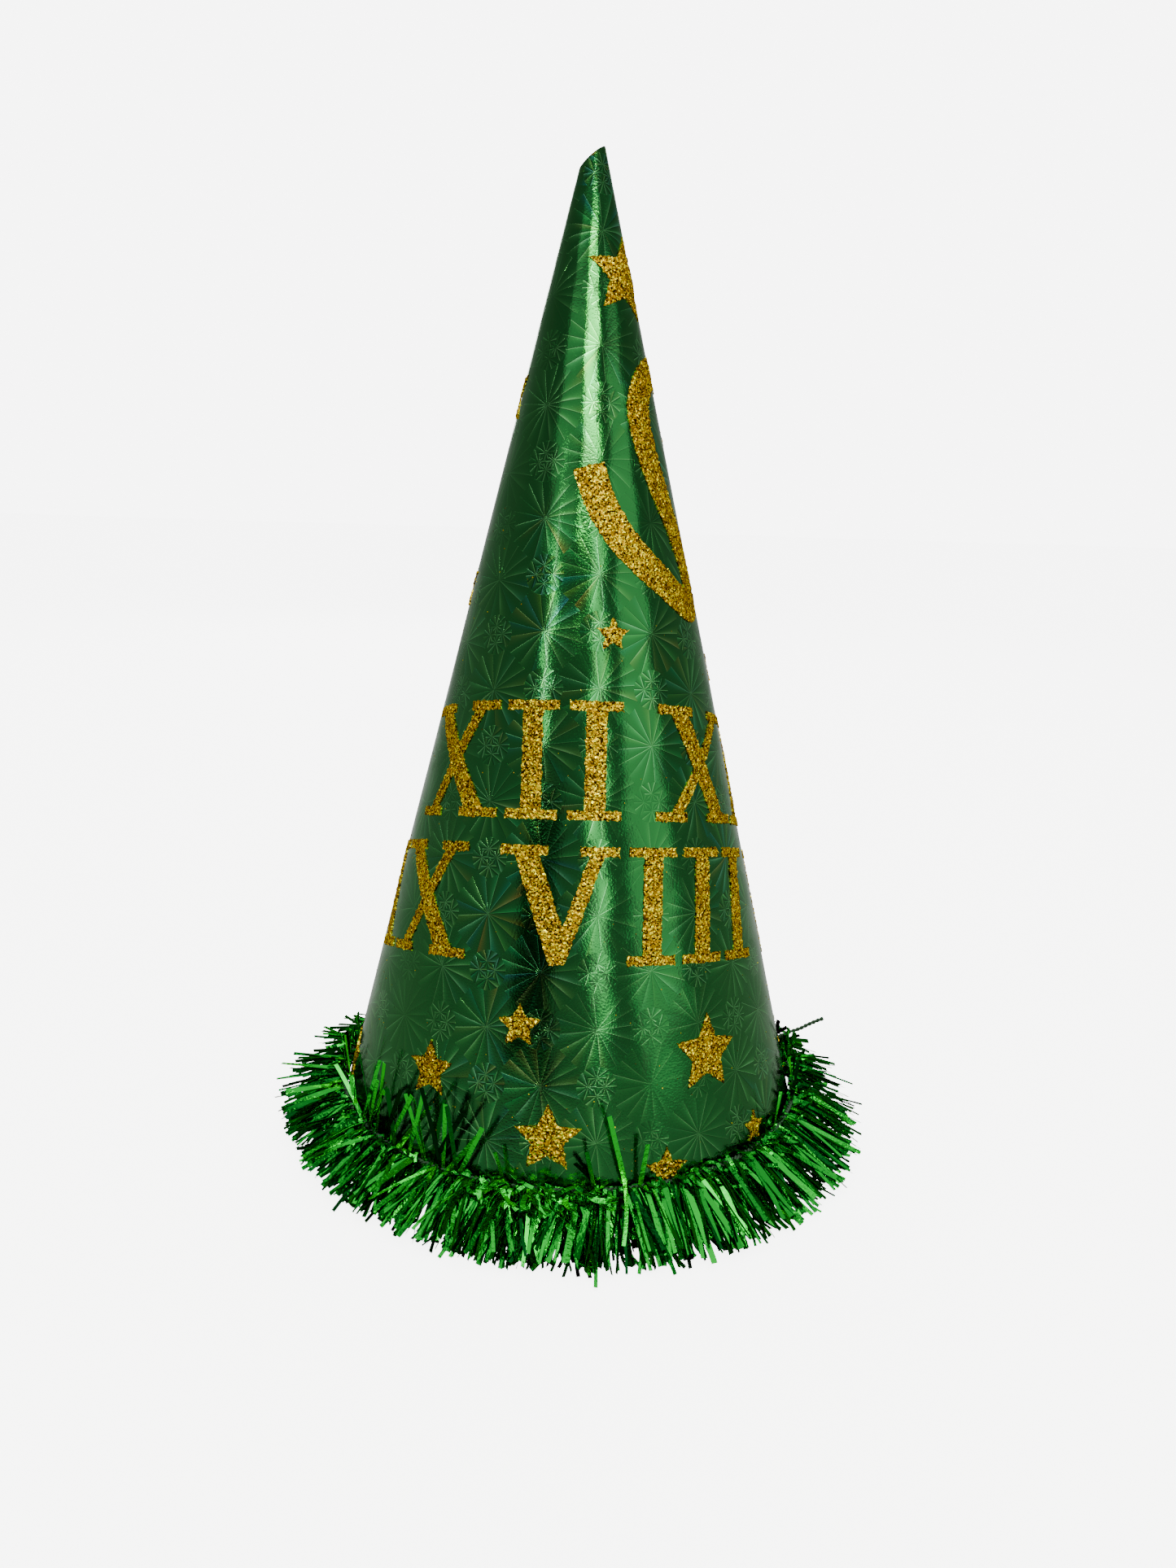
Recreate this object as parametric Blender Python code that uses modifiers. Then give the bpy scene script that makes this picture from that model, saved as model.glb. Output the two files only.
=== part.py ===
"""A tall new year party hat: a rolled cone of foil-covered board, standing on its rim.

The print is laid out on the flat sheet before rolling. On the sheet, the point where the two straight
edges would meet is (0, 0), x runs to the right and y runs up, so everything printed has a negative y.
Rolled up, the sheet's x = 0 line is the front of the hat, and faces -Y.
"""

import math

import bmesh
import bpy
from mathutils import Vector

# The rolled cone
BASE_RADIUS = 0.084
APEX_HEIGHT = 0.340
BOARD_THICKNESS = 0.0006
SEGMENTS = 72
GAP = 0.0003

# The open tip, where the sheet's corner is cut off at a slant
TIP_TOP = 0.3285
TIP_CUT_HEIGHT = 0.3242
TIP_CUT_SLOPE = math.radians(40)
TIP_CUT_TOWARDS = math.radians(-100)
TIP_CUTTER_SIZE = 0.030

# The glued overlap of the sheet, at the back
SEAM_ANGLE = math.radians(-145)
SEAM_THICKNESS = 0.0004
SEAM_TOP = 0.030
SEAM_BOTTOM = 0.349
SEAM_HALF_WIDTH_TOP = 0.0025
SEAM_HALF_WIDTH_BOTTOM = 0.006

# The raised glitter print
PRINT_THICKNESS = 0.0004
CAP_HEIGHT = 0.037
STEM_WIDTH = 0.0066
THICK_RUN = 0.0080
THIN_RUN = 0.0048
SERIF_HEIGHT = 0.0030
SERIF_REACH = 0.0038
GLYPH_WIDTHS = {"I": 0.017, "V": 0.038, "X": 0.038}
GLYPH_GAP = 0.003
WORD_GAP = 0.012
ROW_CENTRE_X = 0.035
ROWS = {"upper": (-0.2223, ["XII", "XI", "X"]), "lower": (-0.2675, ["IX", "VIII", "VII"])}

STAR_POINTS = 5
STAR_WAIST = 0.48
# Each star's x and y on the flat sheet, and its radius
STARS = [
    (0.0119, -0.0524, 0.0135),
    (0.0099, -0.1645, 0.0055),
    (-0.0161, -0.2868, 0.0072),
    (-0.0480, -0.3040, 0.0094),
    (-0.0063, -0.3215, 0.0110),
    (0.0474, -0.2966, 0.0131),
    (0.0709, -0.3239, 0.0057),
    (0.0323, -0.3322, 0.0077),
    (-0.0365, -0.0838, 0.0120),
    (-0.0590, -0.1430, 0.0100),
    (-0.1125, -0.3110, 0.0115),
    (-0.1480, -0.2860, 0.0125),
    (-0.1580, -0.2560, 0.0070),
    (-0.1215, -0.2540, 0.0080),
    (-0.1120, -0.2050, 0.0105),
    (-0.0880, -0.1500, 0.0075),
    (0.0700, -0.1660, 0.0080),
    (0.0780, -0.0980, 0.0120),
    (0.1180, -0.1500, 0.0070),
    (0.1750, -0.2000, 0.0105),
    (0.2060, -0.2180, 0.0070),
    (0.2250, -0.2350, 0.0120),
    (0.1920, -0.2580, 0.0080),
    (0.1780, -0.2820, 0.0095),
    (0.1500, -0.2860, 0.0130),
    (0.1250, -0.2950, 0.0085),
]

# The streamer's middle line on the flat sheet: down to its turn, then up and over in a loose hook
STREAMER_HALF_WIDTH = 0.005
STREAMER_ROUTE = [
    (0.0008, -0.1127),
    (0.0040, -0.1220),
    (0.0100, -0.1320),
    (0.0190, -0.1405),
    (0.0300, -0.1470),
    (0.0405, -0.1515),
    (0.0455, -0.1500),
    (0.0435, -0.1400),
    (0.0360, -0.1280),
    (0.0265, -0.1150),
    (0.0200, -0.1020),
    (0.0178, -0.0910),
    (0.0215, -0.0820),
    (0.0300, -0.0765),
    (0.0390, -0.0790),
    (0.0440, -0.0870),
    (0.0440, -0.0970),
]
STREAMER_STEPS = 4

# The tinsel garland round the rim
CORE_RADIUS = 0.0012
CORE_HEIGHT = 0.014
CORE_CLEARANCE = 0.0011
CORE_STEP = math.radians(5)
CORE_START = math.radians(104)
CORE_TURN = math.radians(350)
TAIL_ROUTE = [
    (0.0985, 0.0200, 0.0255),
    (0.0940, 0.0196, 0.0234),
    (0.0890, 0.0193, 0.0212),
    (0.0845, 0.0193, 0.0193),
    (0.0808, 0.0196, 0.0172),
]
# Each section is (radius, height), round the outline
SKIRT_SECTION = [
    (0.0856, 0.0160),
    (0.0940, 0.0145),
    (0.1030, 0.0095),
    (0.1080, 0.0015),
    (0.1055, 0.0004),
    (0.0960, 0.0045),
    (0.0880, 0.0080),
    (0.0856, 0.0110),
]
TUFT_RADIUS = 0.003
TUFT_RING_RADIUS = 0.0866
TUFT_HEIGHT = 0.0203
TUFT_START = math.radians(112)
TUFT_TURN = math.radians(340)

HALF_ANGLE = math.atan(BASE_RADIUS / APEX_HEIGHT)


def make_material(name, colour, roughness, metallic):
    """A Principled material with a plain colour."""
    material = bpy.data.materials.new(name)
    material.use_nodes = True
    shader = material.node_tree.nodes["Principled BSDF"]
    shader.inputs["Base Color"].default_value = (*colour, 1.0)
    shader.inputs["Roughness"].default_value = roughness
    shader.inputs["Metallic"].default_value = metallic
    return material


def make_collection(name):
    """A new collection, linked to the scene."""
    collection = bpy.data.collections.new(name)
    bpy.context.scene.collection.children.link(collection)
    return collection


def add_object(name, data, collection, material=None):
    """An object for the mesh or curve, in the collection, with its own copy of the material."""
    piece = bpy.data.objects.new(name, data)
    collection.objects.link(piece)
    if material:
        own = material.copy()
        own.name = name
        data.materials.append(own)
    return piece


def cone_radius(height):
    """The outer radius of the rolled sheet at a height above the rim."""
    return BASE_RADIUS * (APEX_HEIGHT - height) / APEX_HEIGHT


def roll_up(point):
    """Carry a point from the flat sheet to the cone; its z is how far it stands off the sheet."""
    slant = math.hypot(point.x, point.y)
    turn = math.atan2(point.x, -point.y) / math.sin(HALF_ANGLE)
    radius = slant * math.sin(HALF_ANGLE) + point.z * math.cos(HALF_ANGLE)
    height = APEX_HEIGHT - slant * math.cos(HALF_ANGLE) + point.z * math.sin(HALF_ANGLE)
    return Vector((radius * math.sin(turn), -radius * math.cos(turn), height))


def sheet_angle(turn):
    """The angle on the flat sheet of a line that ends up at this turn round the hat."""
    return turn * math.sin(HALF_ANGLE)


def flat_slab(outline, thickness):
    """A closed slab of the outline, lying on z = 0, as a mesh."""
    curve = bpy.data.curves.new("outline", "CURVE")
    curve.dimensions = "2D"
    curve.fill_mode = "BOTH"
    curve.extrude = thickness / 2
    spline = curve.splines.new("POLY")
    spline.points.add(len(outline) - 1)
    for point, (x, y) in zip(spline.points, outline):
        point.co = (x, y, 0, 1)
    spline.use_cyclic_u = True
    flat = bpy.data.objects.new("outline", curve)
    bpy.context.scene.collection.objects.link(flat)
    bpy.context.view_layer.update()
    mesh = bpy.data.meshes.new_from_object(flat.evaluated_get(bpy.context.evaluated_depsgraph_get()))
    bpy.data.objects.remove(flat)
    bpy.data.curves.remove(curve)
    work = bmesh.new()
    work.from_mesh(mesh)
    bmesh.ops.remove_doubles(work, verts=work.verts, dist=0.00001)
    bmesh.ops.translate(work, verts=work.verts, vec=(0, 0, thickness / 2))
    bpy.data.meshes.remove(mesh)
    return work


def rolled_print(name, outline, thickness, collection, material):
    """A slab cut along the cone's facets and rolled on to the cone, a small gap off its surface."""
    work = flat_slab(outline, thickness)
    turns = [math.atan2(x, -y) / math.sin(HALF_ANGLE) for x, y in outline]
    facet = math.tau / SEGMENTS
    for step in range(math.ceil(min(turns) / facet), math.floor(max(turns) / facet) + 1):
        angle = sheet_angle(step * facet)
        faces = work.verts[:] + work.edges[:] + work.faces[:]
        normal = (math.cos(angle), math.sin(angle), 0)
        bmesh.ops.bisect_plane(work, geom=faces, dist=0.000002, plane_co=(0, 0, 0), plane_no=normal)
    bmesh.ops.triangulate(work, faces=work.faces[:])
    for vertex in work.verts:
        vertex.co = roll_up(vertex.co + Vector((0, 0, GAP)))
    mesh = bpy.data.meshes.new(name)
    work.to_mesh(mesh)
    work.free()
    return add_object(name, mesh, collection, material)


def turned(name, section, collection, material):
    """A ring turned from a closed section, listed down its outer side first."""
    mesh = bpy.data.meshes.new(name)
    points = [(radius, 0, height) for radius, height in section]
    edges = [(index, (index + 1) % len(section)) for index in range(len(section))]
    mesh.from_pydata(points, edges, [])
    piece = add_object(name, mesh, collection, material)
    screw = piece.modifiers.new("Turn", "SCREW")
    screw.steps = SEGMENTS
    screw.render_steps = SEGMENTS
    screw.use_merge_vertices = True
    screw.merge_threshold = 0.00001
    screw.use_smooth_shade = True
    return piece


def make_cone(parts, cutters, material):
    """The rolled board, with its tip cut off at a slant."""
    wall = BOARD_THICKNESS / math.cos(HALF_ANGLE)
    section = [
        (cone_radius(TIP_TOP), TIP_TOP),
        (BASE_RADIUS, 0),
        (BASE_RADIUS - wall, 0),
        (cone_radius(TIP_TOP) - wall, TIP_TOP),
    ]
    cone = turned("cone", section, parts, material)
    cutter_mesh = bpy.data.meshes.new("tip_cutter")
    box = bmesh.new()
    bmesh.ops.create_cube(box, size=TIP_CUTTER_SIZE)
    bmesh.ops.translate(box, verts=box.verts, vec=(0, 0, TIP_CUTTER_SIZE / 2))
    box.to_mesh(cutter_mesh)
    box.free()
    cutter = add_object("tip_cutter", cutter_mesh, cutters)
    cutter.location = (0, 0, TIP_CUT_HEIGHT)
    cutter.rotation_euler = (TIP_CUT_SLOPE, 0, TIP_CUT_TOWARDS)
    cutter.hide_render = True
    cutter.display_type = "WIRE"
    cut = cone.modifiers.new("Slanted tip", "BOOLEAN")
    cut.operation = "DIFFERENCE"
    cut.object = cutter


def make_seam_flap(parts, material):
    """The strip of sheet that is glued over the other edge, from the tip to the rim."""
    line = sheet_angle(SEAM_ANGLE)
    outline = []
    for slant, reach in ((SEAM_TOP, SEAM_HALF_WIDTH_TOP), (SEAM_BOTTOM, SEAM_HALF_WIDTH_BOTTOM)):
        for side in (-1, 1):
            along = Vector((math.sin(line), -math.cos(line))) * slant
            across = Vector((math.cos(line), math.sin(line))) * reach * side
            outline.append(tuple(along + across))
    outline = [outline[0], outline[2], outline[3], outline[1]]
    rolled_print("seam_flap", outline, SEAM_THICKNESS, parts, material)


def slanted(run_top, run_bottom, height):
    """The x, at a height, of a glyph's slanted edge that goes from run_bottom to run_top."""
    return run_bottom + (run_top - run_bottom) * height / CAP_HEIGHT


def crossing(first, second):
    """The point where two slanted edges, each (run_top, run_bottom), cross."""
    rise = (second[1] - first[1]) / ((first[0] - first[1]) - (second[0] - second[1])) * CAP_HEIGHT
    return slanted(*first, rise), rise


def glyph_i():
    """A stem with a slab serif at each end."""
    half = GLYPH_WIDTHS["I"] / 2
    stem = STEM_WIDTH / 2
    top = CAP_HEIGHT
    shoulder = CAP_HEIGHT - SERIF_HEIGHT
    right = [(half, 0), (half, SERIF_HEIGHT), (stem, SERIF_HEIGHT), (stem, shoulder), (half, shoulder), (half, top)]
    left = [(-x, y) for x, y in reversed(right)]
    return right + left


def glyph_v():
    """A thick and a thin slanted stroke that meet on the baseline, with serifs at the top."""
    half = GLYPH_WIDTHS["V"] / 2
    shoulder = CAP_HEIGHT - SERIF_HEIGHT
    thick_left = (-half + SERIF_REACH, -THIN_RUN / 2)
    thick_right = (thick_left[0] + THICK_RUN, thick_left[1] + THICK_RUN)
    thin_right = (half - SERIF_REACH, THIN_RUN / 2)
    thin_left = (thin_right[0] - THIN_RUN, thin_right[1] - THIN_RUN)
    return [
        (thick_left[1], 0),
        (thin_right[1], 0),
        (slanted(*thin_right, shoulder), shoulder),
        (half, shoulder),
        (half, CAP_HEIGHT),
        (thin_left[0] - SERIF_REACH, CAP_HEIGHT),
        (thin_left[0] - SERIF_REACH, shoulder),
        (slanted(*thin_left, shoulder), shoulder),
        crossing(thin_left, thick_right),
        (slanted(*thick_right, shoulder), shoulder),
        (thick_right[0] + SERIF_REACH, shoulder),
        (thick_right[0] + SERIF_REACH, CAP_HEIGHT),
        (-half, CAP_HEIGHT),
        (-half, shoulder),
        (slanted(*thick_left, shoulder), shoulder),
    ]


def glyph_x():
    """A thick and a thin slanted stroke that cross, with a serif at each of the four ends."""
    half = GLYPH_WIDTHS["X"] / 2
    thick_end = half - SERIF_REACH
    thick_left = (-thick_end, thick_end - THICK_RUN)
    thick_right = (-thick_end + THICK_RUN, thick_end)
    thin_end = half - SERIF_REACH
    thin_left = (thin_end - THIN_RUN, -thin_end)
    thin_right = (thin_end, -thin_end + THIN_RUN)
    shoulder = CAP_HEIGHT - SERIF_HEIGHT
    upper = [
        (slanted(*thin_right, shoulder), shoulder),
        (half, shoulder),
        (half, CAP_HEIGHT),
        (thin_left[0] - SERIF_REACH, CAP_HEIGHT),
        (thin_left[0] - SERIF_REACH, shoulder),
        (slanted(*thin_left, shoulder), shoulder),
        crossing(thin_left, thick_right),
        (slanted(*thick_right, shoulder), shoulder),
        (thick_right[0] + SERIF_REACH, shoulder),
        (thick_right[0] + SERIF_REACH, CAP_HEIGHT),
        (-half, CAP_HEIGHT),
        (-half, shoulder),
        (slanted(*thick_left, shoulder), shoulder),
        crossing(thick_left, thin_left),
    ]
    lower = [(-x, CAP_HEIGHT - y) for x, y in upper]
    return upper + lower


def make_numerals(parts, material):
    """Two rows of slab-serif dial numerals, counting down."""
    outlines = {"I": glyph_i(), "V": glyph_v(), "X": glyph_x()}
    for row, (baseline, words) in ROWS.items():
        letters = sum(GLYPH_WIDTHS[glyph] for word in words for glyph in word)
        gaps = sum(len(word) - 1 for word in words) * GLYPH_GAP + (len(words) - 1) * WORD_GAP
        left = ROW_CENTRE_X - (letters + gaps) / 2
        count = 0
        for word in words:
            for glyph in word:
                count += 1
                middle = left + GLYPH_WIDTHS[glyph] / 2
                outline = [(middle + x, baseline + y) for x, y in outlines[glyph]]
                rolled_print(f"numeral_{row}_{count}", outline, PRINT_THICKNESS, parts, material)
                left += GLYPH_WIDTHS[glyph] + GLYPH_GAP
            left += WORD_GAP - GLYPH_GAP


def star_outline(x, y, radius):
    """A star with one point up, its waist a share of its radius."""
    outline = []
    for index in range(2 * STAR_POINTS):
        reach = radius if index % 2 == 0 else radius * STAR_WAIST
        angle = math.pi / 2 + index * math.pi / STAR_POINTS
        outline.append((x + reach * math.cos(angle), y + reach * math.sin(angle)))
    return outline


def make_stars(parts, material):
    """The scattered stars, one node each."""
    for count, (x, y, radius) in enumerate(STARS, start=1):
        rolled_print(f"star_{count:02d}", star_outline(x, y, radius), PRINT_THICKNESS, parts, material)


def smooth_line(points, steps):
    """A smooth curve through the points (Catmull-Rom)."""
    padded = [2 * points[0] - points[1]] + points + [2 * points[-1] - points[-2]]
    line = []
    for before, start, end, after in zip(padded, padded[1:], padded[2:], padded[3:]):
        for step in range(steps):
            t = step / steps
            pull = (end - before) * t + (2 * before - 5 * start + 4 * end - after) * t**2
            line.append(start + 0.5 * (pull + (3 * start - before - 3 * end + after) * t**3))
    line.append(points[-1])
    return line


def make_streamer(parts, material):
    """A curl of even width. At its tight turn, side points that would fold over are left out."""
    line = smooth_line([Vector(point) for point in STREAMER_ROUTE], STREAMER_STEPS)
    sides = []
    for sign in (1, -1):
        side = []
        for index, point in enumerate(line):
            along = (line[min(index + 1, len(line) - 1)] - line[max(index - 1, 0)]).normalized()
            edge = point + sign * STREAMER_HALF_WIDTH * Vector((-along.y, along.x))
            if min((edge - other).length for other in line) > 0.985 * STREAMER_HALF_WIDTH:
                side.append(tuple(edge))
        sides.append(side)
    rolled_print("streamer", sides[0] + sides[1][::-1], PRINT_THICKNESS, parts, material)


def arc(start, turn, radius, height):
    """Points round the hat at an even step."""
    turns = [start + step * CORE_STEP for step in range(round(turn / CORE_STEP) + 1)]
    return [(radius * math.sin(angle), -radius * math.cos(angle), height) for angle in turns]


def make_tube(name, points, radius, parts, material):
    """A tube along the points, with closed ends."""
    curve = bpy.data.curves.new(name, "CURVE")
    curve.dimensions = "3D"
    curve.bevel_depth = radius
    curve.bevel_resolution = 2
    curve.use_fill_caps = True
    spline = curve.splines.new("POLY")
    spline.points.add(len(points) - 1)
    for spot, place in zip(spline.points, points):
        spot.co = (*place, 1)
    add_object(name, curve, parts, material)


def make_tinsel(parts, thread, foil):
    """The garland: its thread, the strips that droop to the table and the short ones that stand up."""
    ring_radius = cone_radius(CORE_HEIGHT) + (CORE_CLEARANCE + CORE_RADIUS) / math.cos(HALF_ANGLE)
    ring = arc(CORE_START, CORE_TURN, ring_radius, CORE_HEIGHT)
    make_tube("tinsel_core", TAIL_ROUTE + ring, CORE_RADIUS, parts, thread)
    turned("tinsel_skirt", SKIRT_SECTION, parts, foil)
    tufts = arc(TUFT_START, TUFT_TURN, TUFT_RING_RADIUS, TUFT_HEIGHT)
    make_tube("tinsel_tufts", tufts, TUFT_RADIUS, parts, foil)


def main():
    for old in list(bpy.data.objects):
        bpy.data.objects.remove(old)
    parts = make_collection("party_hat")
    cutters = make_collection("cutters")
    foil = make_material("green_foil", (0.013, 0.095, 0.024), 0.25, 0.8)
    seam = make_material("green_foil_edge", (0.012, 0.085, 0.022), 0.3, 0.8)
    glitter = make_material("gold_glitter", (0.52, 0.30, 0.025), 0.4, 0.7)
    tinsel = make_material("green_tinsel", (0.003, 0.19, 0.014), 0.2, 0.9)
    thread = make_material("green_thread", (0.01, 0.06, 0.02), 0.8, 0.0)
    make_cone(parts, cutters, foil)
    make_seam_flap(parts, seam)
    make_numerals(parts, glitter)
    make_streamer(parts, glitter)
    make_stars(parts, glitter)
    make_tinsel(parts, thread, tinsel)


main()
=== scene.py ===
import math
import random

import bmesh
import bpy
import numpy as np
from mathutils import Matrix, Vector, geometry, noise


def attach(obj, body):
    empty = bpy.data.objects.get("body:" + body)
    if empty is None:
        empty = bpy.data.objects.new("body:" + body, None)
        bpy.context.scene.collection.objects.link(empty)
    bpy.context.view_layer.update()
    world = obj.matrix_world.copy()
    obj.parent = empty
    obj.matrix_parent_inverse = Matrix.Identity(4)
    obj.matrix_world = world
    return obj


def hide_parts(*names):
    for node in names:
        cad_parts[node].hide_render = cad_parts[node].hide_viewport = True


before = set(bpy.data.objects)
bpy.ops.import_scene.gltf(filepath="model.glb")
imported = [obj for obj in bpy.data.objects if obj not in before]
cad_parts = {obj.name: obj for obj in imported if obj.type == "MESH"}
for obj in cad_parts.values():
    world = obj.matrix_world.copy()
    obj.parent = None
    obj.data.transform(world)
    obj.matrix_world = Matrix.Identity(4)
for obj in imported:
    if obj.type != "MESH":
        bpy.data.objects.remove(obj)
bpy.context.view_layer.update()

# ---------------------------------------------------------------- camera
# The hat stands on a table and is seen from the front, from a little above the middle of its height.
# The lens is a phone's main camera; the roll is the hand's.

camera_data = bpy.data.cameras.new("camera")
camera_data.sensor_width = 36
camera_data.lens = 27.03
camera_data.clip_start = 0.01
camera = bpy.data.objects.new("camera", camera_data)
bpy.context.scene.collection.objects.link(camera)
camera_turn = Matrix.Rotation(math.radians(-0.53), 4, "Z")
camera_tilt = Matrix.Rotation(math.radians(90 - 14.14), 4, "X")
camera_roll = Matrix.Rotation(math.radians(1.73), 4, "Z")
camera.matrix_world = Matrix.Translation((0, -0.4038, 0.2241)) @ camera_turn @ camera_tilt @ camera_roll
bpy.context.scene.camera = camera

# ---------------------------------------------------------------- floor and light
# A plain pale table top, a soft window behind the camera, and broad soft lights on the right and behind.
# Foil mirrors the room, so the table and the backdrop are white only where the camera looks straight at
# them, and a quiet grey where the foil sees them.

FLOOR_GLOW = 5.4
BACKDROP_LEVEL = 7.0
LIGHT_DISTANCE = 1.6


def linear(hex_colour):
    """An sRGB hex colour as linear RGBA."""
    channels = [int(hex_colour[i : i + 2], 16) / 255 for i in (1, 3, 5)]
    return [c / 12.92 if c <= 0.04045 else ((c + 0.055) / 1.055) ** 2.4 for c in channels] + [1.0]


def new_material(name, **settings):
    """A Principled material, and its tree and shader. Each setting is one of the shader's sockets."""
    material = bpy.data.materials.new(name)
    material.use_nodes = True
    shader = material.node_tree.nodes["Principled BSDF"]
    for socket, value in settings.items():
        shader.inputs[socket.replace("_", " ")].default_value = value
    return material, material.node_tree, shader


def add_node(tree, kind, settings=None, **links):
    """Adds a node. settings are its own; each link is a value or another node's output."""
    node = tree.nodes.new("ShaderNode" + kind)
    for name, value in (settings or {}).items():
        setattr(node, name, value)
    for name, value in links.items():
        socket = node.inputs[int(name[1:])] if name[0] == "i" and name[1:].isdigit() else node.inputs[name]
        if isinstance(value, bpy.types.NodeSocket):
            tree.links.new(value, socket)
        else:
            socket.default_value = value
    return node


bpy.ops.object.select_all(action="DESELECT")
bpy.ops.mesh.primitive_plane_add(size=12, location=(0, 0, -0.0002))
floor = bpy.context.object
floor.name = "table_top"
# High-pressure laminate, matt white: an even pale ground with no reflections of its own.
floor_paint, tree, shader = new_material("white_laminate", Roughness=0.7)
ray = add_node(tree, "LightPath")
white = add_node(
    tree, "Mix", {"data_type": "RGBA"}, i0=ray.outputs[0], i6=linear("#8C8E8C"), i7=linear("#F6F6F5")
)
tree.links.new(white.outputs[2], shader.inputs["Base Color"])
glare = add_node(tree, "MapRange", i0=ray.outputs[0], i3=0.0, i4=FLOOR_GLOW)
tree.links.new(glare.outputs[0], shader.inputs["Emission Strength"])
shader.inputs["Emission Color"].default_value = linear("#FFFFFF")
floor.data.materials.append(floor_paint)

world = bpy.data.worlds.new("room")
world.use_nodes = True
tree = world.node_tree
way = add_node(tree, "TexCoord")
rise = add_node(tree, "SeparateXYZ", Vector=way.outputs["Generated"])
room = add_node(tree, "ValToRGB", Fac=rise.outputs[2])
room.color_ramp.elements[0].color = (0.5, 0.5, 0.5, 1)
room.color_ramp.elements[1].position = 0.88
room.color_ramp.elements.new(0.5).color = (0.33, 0.33, 0.33, 1)
room.color_ramp.elements.new(0.66).color = (0.42, 0.42, 0.42, 1)
ray = add_node(tree, "LightPath")
seen = add_node(tree, "MapRange", i0=ray.outputs[0], i3=1.0, i4=BACKDROP_LEVEL)
plain = add_node(
    tree, "Mix", {"data_type": "RGBA"}, i0=ray.outputs[0], i6=room.outputs[0], i7=(1, 1, 1, 1)
)
tree.links.new(plain.outputs[2], tree.nodes["Background"].inputs["Color"])
tree.links.new(seen.outputs[0], tree.nodes["Background"].inputs["Strength"])
bpy.context.scene.world = world


def add_light(name, azimuth, elevation, width, height, power, colour):
    """A rectangular light that faces the middle of the hat. Azimuth 0 is in front, 90 on the right."""
    aim = Vector((0, 0, 0.17))
    around = math.radians(azimuth)
    above = math.radians(elevation)
    away = Vector((math.sin(around) * math.cos(above), -math.cos(around) * math.cos(above), math.sin(above)))
    data = bpy.data.lights.new(name, "AREA")
    data.shape = "RECTANGLE"
    data.size = width
    data.size_y = height
    data.energy = power
    data.color = linear(colour)[:3]
    light = bpy.data.objects.new(name, data)
    light.location = aim + away * LIGHT_DISTANCE
    light.rotation_euler = away.to_track_quat("Z", "Y").to_euler()
    light.visible_camera = False
    bpy.context.scene.collection.objects.link(light)


add_light("window", 5, 34.5, 0.52, 0.34, 12, "#F2FFD6")
add_light("window_curtain", -30, 33, 0.85, 0.46, 1.3, "#F4FFF0")
add_light("window_lower", 16, 13, 0.30, 0.80, 3.6, "#F4FFF0")
add_light("curtain_edge", -30, 19, 0.07, 0.40, 1.4, "#F4FFF0")
add_light("softbox", 52, 13, 0.85, 1.35, 5.6, "#F6FFF4")
add_light("top_front", 0, 60, 1.2, 0.45, 3.4, "#F8FFF6")
add_light("rear_left", -166, 25, 0.26, 1.0, 6, "#FFFFFF")
add_light("rear_right", 165, 34, 0.4, 0.7, 3.2, "#FFFFFF")

# A dark card beside the camera puts the brown-black stripe on the front of the foil. It is matt card.
bpy.ops.mesh.primitive_plane_add(size=1, location=(-0.60, -1.46, 0.24))
card = bpy.context.object
card.name = "shade_card"
card.scale = (0.62, 0.50, 1)
card.rotation_euler = (math.radians(90), 0, math.radians(-22))
card.visible_camera = False
card_paint, tree, shader = new_material("dark_card", Roughness=0.9)
shader.inputs["Base Color"].default_value = linear("#1C120C")
card.data.materials.append(card_paint)

ceiling_data = bpy.data.lights.new("ceiling", "SUN")
ceiling_data.energy = 2.6
ceiling_data.angle = math.radians(80)
ceiling = bpy.data.objects.new("ceiling", ceiling_data)
ceiling.rotation_euler.x = math.radians(-10)
bpy.context.scene.collection.objects.link(ceiling)

# ---------------------------------------------------------------- cone
# One sheet of thin board with a green holographic film on its face, rolled up and glued along the back.
# Its tip is cut off at a slant, and the inside is bare pale board.

RIM_RADIUS = 0.084
APEX_HEIGHT = 0.340
HALF_ANGLE = math.atan(RIM_RADIUS / APEX_HEIGHT)
BOARD = 0.0005
SEAM_TURN = math.radians(-145)
OVERLAP = math.radians(5)
TIP_CUT_POINT = Vector((0, 0, 0.3242))
TIP_CUT_TURN = Matrix.Rotation(math.radians(-100), 3, "Z")
TIP_CUT_NORMAL = TIP_CUT_TURN @ Matrix.Rotation(math.radians(40), 3, "X") @ Vector((0, 0, 1))
TUCK_TURN = math.radians(7)
BROAD_DENT = 0.00030
FINE_DENT = 0.00007


def dents(turn, slant):
    """How far the hand-rolled board stands in or out of a true cone."""
    place = Vector((math.sin(turn) * 1.3, math.cos(turn) * 1.3, slant * 9))
    broad = noise.noise(place) * BROAD_DENT
    fine = noise.noise(Vector((math.sin(turn) * 5, math.cos(turn) * 5, slant * 26 + 7))) * FINE_DENT
    return (broad + fine) * min(1.0, slant / 0.1)


def roll_up(x, y, lift, turn=None):
    """Carries a point of the flat sheet, whose apex is (0, 0) and whose front runs down -y, to the cone."""
    slant = math.hypot(x, y)
    if turn is None:
        turn = math.atan2(x, -y) / math.sin(HALF_ANGLE)
    lift = lift + dents(turn, slant)
    radius = slant * math.sin(HALF_ANGLE) + lift * math.cos(HALF_ANGLE)
    height = APEX_HEIGHT - slant * math.cos(HALF_ANGLE) + lift * math.sin(HALF_ANGLE)
    return Vector((radius * math.sin(turn), -radius * math.cos(turn), height))


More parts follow.
